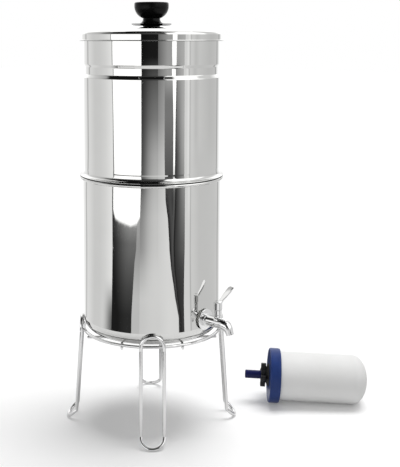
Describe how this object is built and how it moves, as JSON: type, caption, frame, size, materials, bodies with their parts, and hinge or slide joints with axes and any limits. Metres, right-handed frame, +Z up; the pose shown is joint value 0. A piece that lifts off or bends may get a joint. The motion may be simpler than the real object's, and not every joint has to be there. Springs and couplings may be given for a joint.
{
  "type": "gravity water filter with tap",
  "caption": "Gravity water filter: stacked polished steel chambers with a domed lid and ceramic cartridges, a lever tap low on the wall, on a wire stand.",
  "frame": {"origin": "on the floor, under the axis of the two chambers", "axes": "+Z up along the chambers' axis, -Y out along the tap, +X the way the shut lever points"},
  "size_m": [0.4467, 0.3926, 0.7227],
  "materials": {
    "wire": "polished steel wire",
    "polished_steel": "mirror-polished stainless sheet",
    "tap_chrome": "polished chrome plating",
    "screw_steel": "plain steel",
    "dark_steel": "blackened steel",
    "clear_seal": "milky silicone",
    "white_seat": "smooth fluoroplastic",
    "black_knob": "semi-gloss moulded plastic",
    "black_plastic": "moulded plastic",
    "black_rubber": "matt rubber",
    "ceramic": "matt porous ceramic",
    "carbon": "matt pressed carbon",
    "blue_plastic": "moulded plastic"
  },
  "bodies": {
    "stand": {"stand_ring": "wire", "leg_front_left": "wire", "leg_front_right": "wire", "leg_back_right": "wire", "leg_back_left": "wire", "cross_wire_front": "wire", "cross_wire_back": "wire", "cross_wire_left": "wire", "cross_wire_right": "wire"},
    "lower": {"lower_chamber": "polished_steel", "tap_body": "tap_chrome", "tap_escutcheon": "tap_chrome", "tap_outer_seal": "clear_seal", "tap_inner_seal": "clear_seal", "tap_nut": "tap_chrome", "gland_nut": "tap_chrome", "packing_ring_lower": "white_seat", "packing_ring_upper": "white_seat", "ball_seat_front": "white_seat", "ball_seat_rear": "white_seat", "seat_retainer": "tap_chrome"},
    "lever": {"tap_lever": "tap_chrome", "valve_stem": "tap_chrome", "valve_ball": "tap_chrome", "lever_set_screw": "dark_steel"},
    "upper": {"upper_chamber": "polished_steel", "ceramic_shell_left": "ceramic", "carbon_core_left": "carbon", "cartridge_cap_left": "blue_plastic", "cap_seal_left": "black_rubber", "wing_nut_left": "black_plastic", "ceramic_shell_right": "ceramic", "carbon_core_right": "carbon", "cartridge_cap_right": "blue_plastic", "cap_seal_right": "black_rubber", "wing_nut_right": "black_plastic", "hole_plug": "black_plastic", "plug_seal": "clear_seal", "plug_nut": "black_plastic"},
    "lid": {"lid": "polished_steel", "lid_knob": "black_knob", "knob_screw": "screw_steel", "knob_washer": "screw_steel"},
    "cartridge": {"ceramic_shell_loose": "ceramic", "carbon_core_loose": "carbon", "cartridge_cap_loose": "blue_plastic", "cap_seal_loose": "black_rubber", "wing_nut_loose": "black_plastic"}
  },
  "joints": [
    {"name": "lower_lift", "type": "slide", "parent": "stand", "child": "lower", "axis": [0, 0, 1], "range_m": [0, 0.1]},
    {"name": "lever_turn", "type": "hinge", "parent": "lower", "child": "lever", "pos_m": [0, -0.1466, 0.2005], "axis": [0, 0, 1], "range_deg": [-90, 0]},
    {"name": "upper_lift", "type": "slide", "parent": "lower", "child": "upper", "axis": [0, 0, 1], "range_m": [0, 0.12]},
    {"name": "lid_lift", "type": "slide", "parent": "upper", "child": "lid", "axis": [0, 0, 1], "range_m": [0, 0.12]},
    {"name": "cartridge_lift", "type": "slide", "parent": "stand", "child": "cartridge", "axis": [0, 0, 1], "range_m": [0, 0.12]}
  ]
}
